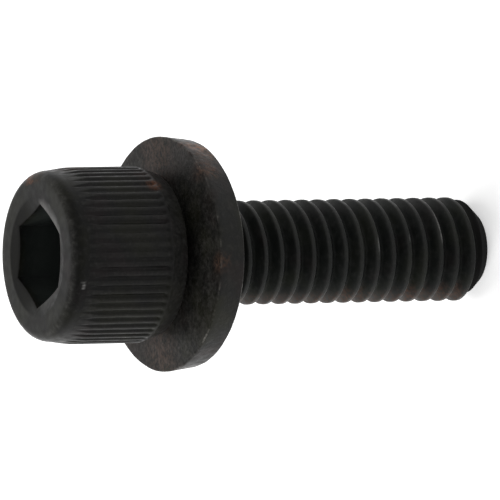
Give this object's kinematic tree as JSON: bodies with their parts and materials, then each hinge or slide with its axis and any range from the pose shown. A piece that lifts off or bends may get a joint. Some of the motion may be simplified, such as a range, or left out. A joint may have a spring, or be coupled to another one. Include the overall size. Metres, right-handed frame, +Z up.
{
  "type": "socket head cap screw with captive washer",
  "caption": "Round knurled head with a hexagon socket on a threaded shank, with a loose flat washer held captive under the head; clamps parts together.",
  "frame": {"origin": "middle of the flat threaded end, on the screw's axis, where the screw stands", "axes": "+Z up the screw's axis from the threaded end to the head; one corner of the socket points along +X, turned by six degrees"},
  "size_m": [0.0131, 0.0131, 0.0271],
  "materials": {
    "screw_black_oxide": "black oxide on steel, satin, with rust tints",
    "washer_black_oxide": "black oxide on steel, satin, with worn edges"
  },
  "bodies": {
    "screw": {"cap_screw": "screw_black_oxide"},
    "washer": {"flat_washer": "washer_black_oxide"}
  },
  "joints": [
    {"name": "washer_spin", "type": "hinge", "parent": "screw", "child": "washer", "pos_m": [0, 0, 0.0186], "axis": [0, 0, 1], "continuous": true}
  ]
}
